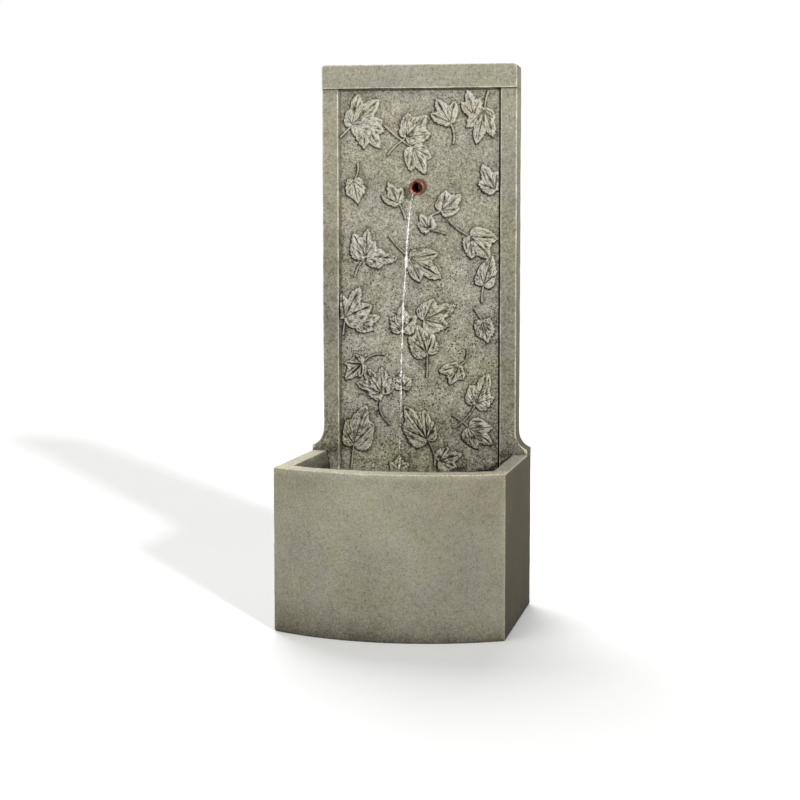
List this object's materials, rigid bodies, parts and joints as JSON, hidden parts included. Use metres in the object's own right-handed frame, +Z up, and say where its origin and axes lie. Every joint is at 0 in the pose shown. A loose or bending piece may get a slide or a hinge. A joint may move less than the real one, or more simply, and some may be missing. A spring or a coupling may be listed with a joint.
{
  "type": "garden wall fountain",
  "caption": "Cast-stone garden wall fountain: a bowed basin and a tall back wall with a leaf panel, from which a copper spout pours water that a hidden pump lifts.",
  "frame": {"origin": "on the ground, under the middle of the fountain's box", "axes": "+X along the wall to the viewer's right, +Y from the front towards the wall, +Z up"},
  "size_m": [0.5334, 0.4317, 1.3081],
  "materials": {
    "cast_stone": "sponged matt patina",
    "copper": "brown weathered copper",
    "bronze": "dark bronze",
    "brass": "machined",
    "rubber": "matt",
    "clear_hose": "clear, slightly milky",
    "steel": "stainless",
    "pump_case": "moulded",
    "laminated_steel": "stacked plates",
    "winding": "enamelled wire",
    "magnet": "ferrite",
    "impeller_plastic": "moulded",
    "ceramic_shaft": "ground",
    "dial_plastic": "moulded"
  },
  "bodies": {
    "fountain": {"basin": "cast_stone", "back_wall": "cast_stone", "spout_pipe": "copper", "spout_flange": "bronze", "spout_washer": "rubber", "spout_locknut": "brass", "spout_elbow": "brass", "supply_tube": "clear_hose", "lower_hose_clamp": "steel", "upper_hose_clamp": "steel", "clamp_screws": "steel", "pump_housing": "pump_case", "pump_motor_cap": "pump_case", "pump_cord_gland": "rubber", "stator_core": "laminated_steel", "stator_coil": "winding", "rotor_shaft": "ceramic_shaft", "rear_bush": "rubber", "front_bush": "rubber", "volute_cover": "pump_case", "cover_seal_ring": "rubber", "outlet_nozzle": "pump_case", "pump_suction_cups": "rubber", "cord_stopper": "rubber"},
    "rotor": {"rotor_magnet": "magnet", "impeller": "impeller_plastic"},
    "strainer": {"intake_strainer": "pump_case"},
    "dial": {"flow_dial": "dial_plastic"},
    "drain_plug": {"drain_stopper": "rubber"}
  },
  "joints": [
    {"name": "rotor_spin", "type": "hinge", "parent": "fountain", "child": "rotor", "pos_m": [0, 0.1209, 0.147], "axis": [1, 0, 0], "continuous": true},
    {"name": "strainer_pull", "type": "slide", "parent": "fountain", "child": "strainer", "axis": [-1, 0, 0], "range_m": [0, 0.045]},
    {"name": "dial_turn", "type": "hinge", "parent": "strainer", "child": "dial", "pos_m": [-0.033, 0.1209, 0.147], "axis": [1, 0, 0], "range_deg": [0, 90]},
    {"name": "drain_pull", "type": "slide", "parent": "fountain", "child": "drain_plug", "axis": [0, 0, 1], "range_m": [0, 0.045]}
  ]
}
